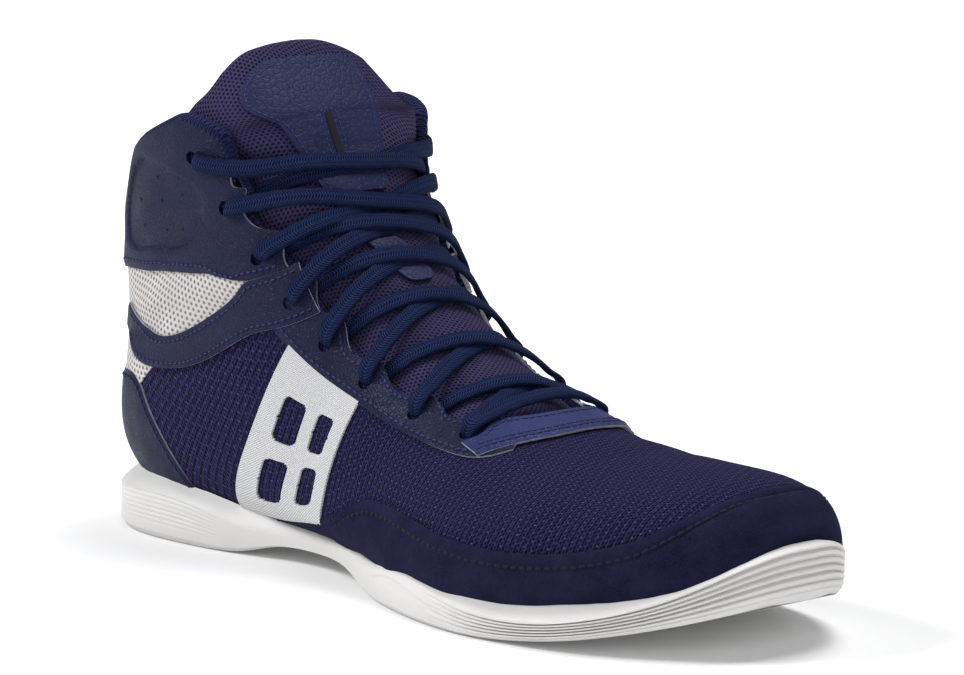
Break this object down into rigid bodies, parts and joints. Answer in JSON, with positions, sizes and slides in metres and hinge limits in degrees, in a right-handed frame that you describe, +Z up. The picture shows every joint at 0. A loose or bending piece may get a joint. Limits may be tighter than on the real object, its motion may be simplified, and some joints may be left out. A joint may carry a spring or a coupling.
{
  "type": "wrestling shoe",
  "caption": "High-top wrestling shoe for the right foot: a thin hollow upper with raised overlays, padded tongue and crossed laces on a low flat rubber sole.",
  "frame": {"origin": "on the floor, under the middle of the whole shoe's box", "axes": "+X from heel to toe, +Y to the inner (big toe) side, +Z up"},
  "size_m": [0.3014, 0.1061, 0.1668],
  "materials": {
    "vamp_mesh": "dark navy knit mesh with close ribs, matt",
    "napped_rand": "napped suede-like navy synthetic, very matt",
    "grained_synthetic": "navy grained synthetic leather, satin",
    "white_film": "smooth white synthetic film, satin",
    "tongue_mesh": "padded violet-navy mesh, matt",
    "woven_lace": "flat woven dark blue lace, matt",
    "white_rubber": "moulded off-white rubber, matt",
    "insole_foam": "cloth-topped foam, matt"
  },
  "bodies": {
    "root": {"upper": "vamp_mesh", "toe_rand": "napped_rand", "side_band_outer": "napped_rand", "side_band_inner": "napped_rand", "heel_counter": "grained_synthetic", "throat_piece": "grained_synthetic", "cuff": "grained_synthetic", "eyestay_outer": "grained_synthetic", "eyestay_inner": "grained_synthetic", "ankle_strap_outer": "grained_synthetic", "ankle_strap_inner": "grained_synthetic", "saddle_outer": "white_film", "outsole": "white_rubber", "insole": "insole_foam", "tongue": "tongue_mesh", "tongue_badge": "grained_synthetic", "lace_bar_low": "woven_lace", "lace_crossing_1": "woven_lace", "lace_crossing_2": "woven_lace", "lace_crossing_3": "woven_lace", "lace_crossing_4": "woven_lace", "lace_crossing_5": "woven_lace", "lace_crossing_6": "woven_lace", "lace_crossing_7": "woven_lace"}
  },
  "joints": []
}
